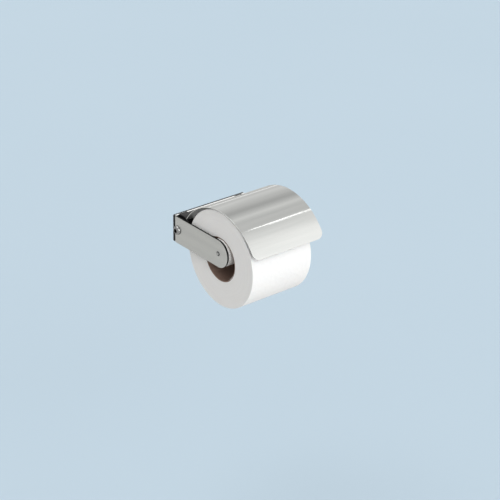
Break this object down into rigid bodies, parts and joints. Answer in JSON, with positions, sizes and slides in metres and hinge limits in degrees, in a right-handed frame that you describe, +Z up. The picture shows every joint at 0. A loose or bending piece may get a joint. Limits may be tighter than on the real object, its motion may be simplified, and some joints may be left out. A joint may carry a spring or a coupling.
{
  "type": "toilet paper holder",
  "caption": "Wall-mounted toilet paper holder: polished L-shaped bracket with a single arm, an axle with a turning roller, a hinged curved cover and a roll of paper on its core.",
  "frame": {"origin": "middle of the wall plate's back face, in the plane of the wall", "axes": "+Z up, +Y into the wall, +X along the wall from the arm towards the open end of the roller"},
  "size_m": [0.1032, 0.141, 0.1144],
  "materials": {
    "polished_steel": "polished stainless sheet, near mirror, with faint wiping marks",
    "plain_steel": "turned and plated steel",
    "dark_plate": "dark satin paint",
    "black_plastic": "moulded black plastic, fine grain",
    "grey_plastic": "plain grey nylon",
    "core_cardboard": "spirally wound brown board with torn fibres at the rim",
    "tissue_paper": "soft white tissue with fine embossing; wound layers on the end faces"
  },
  "bodies": {
    "wall_frame": {"wall_plate": "dark_plate", "bracket": "polished_steel", "locking_screw": "polished_steel", "hinge_block_left": "black_plastic", "hinge_block_right": "black_plastic", "block_screw_left": "plain_steel", "block_screw_right": "plain_steel", "hinge_pin": "plain_steel", "hinge_washer_left": "grey_plastic", "hinge_washer_right": "grey_plastic", "axle": "plain_steel", "axle_washer": "grey_plastic", "end_washer": "plain_steel", "end_screw": "plain_steel"},
    "cover": {"lid": "polished_steel"},
    "roller": {"roller_tube": "polished_steel", "roller_bush": "black_plastic", "end_cap": "black_plastic"},
    "roll": {"cardboard_core": "core_cardboard", "paper_roll": "tissue_paper"}
  },
  "joints": [
    {"name": "lid_hinge", "type": "hinge", "parent": "wall_frame", "child": "cover", "pos_m": [0, -0.0125, 0.0084], "axis": [-1, 0, 0], "range_deg": [0, 60]},
    {"name": "roll_spin", "type": "hinge", "parent": "wall_frame", "child": "roll", "pos_m": [0, -0.08014, -0.00859], "axis": [1, 0, 0], "continuous": true},
    {"name": "roller_spin", "type": "hinge", "parent": "wall_frame", "child": "roller", "pos_m": [0, -0.0815, 0], "axis": [1, 0, 0], "continuous": true}
  ],
  "couplings": [
    {"joint": "roller_spin", "follows": "roll_spin", "ratio": 1.5625}
  ]
}
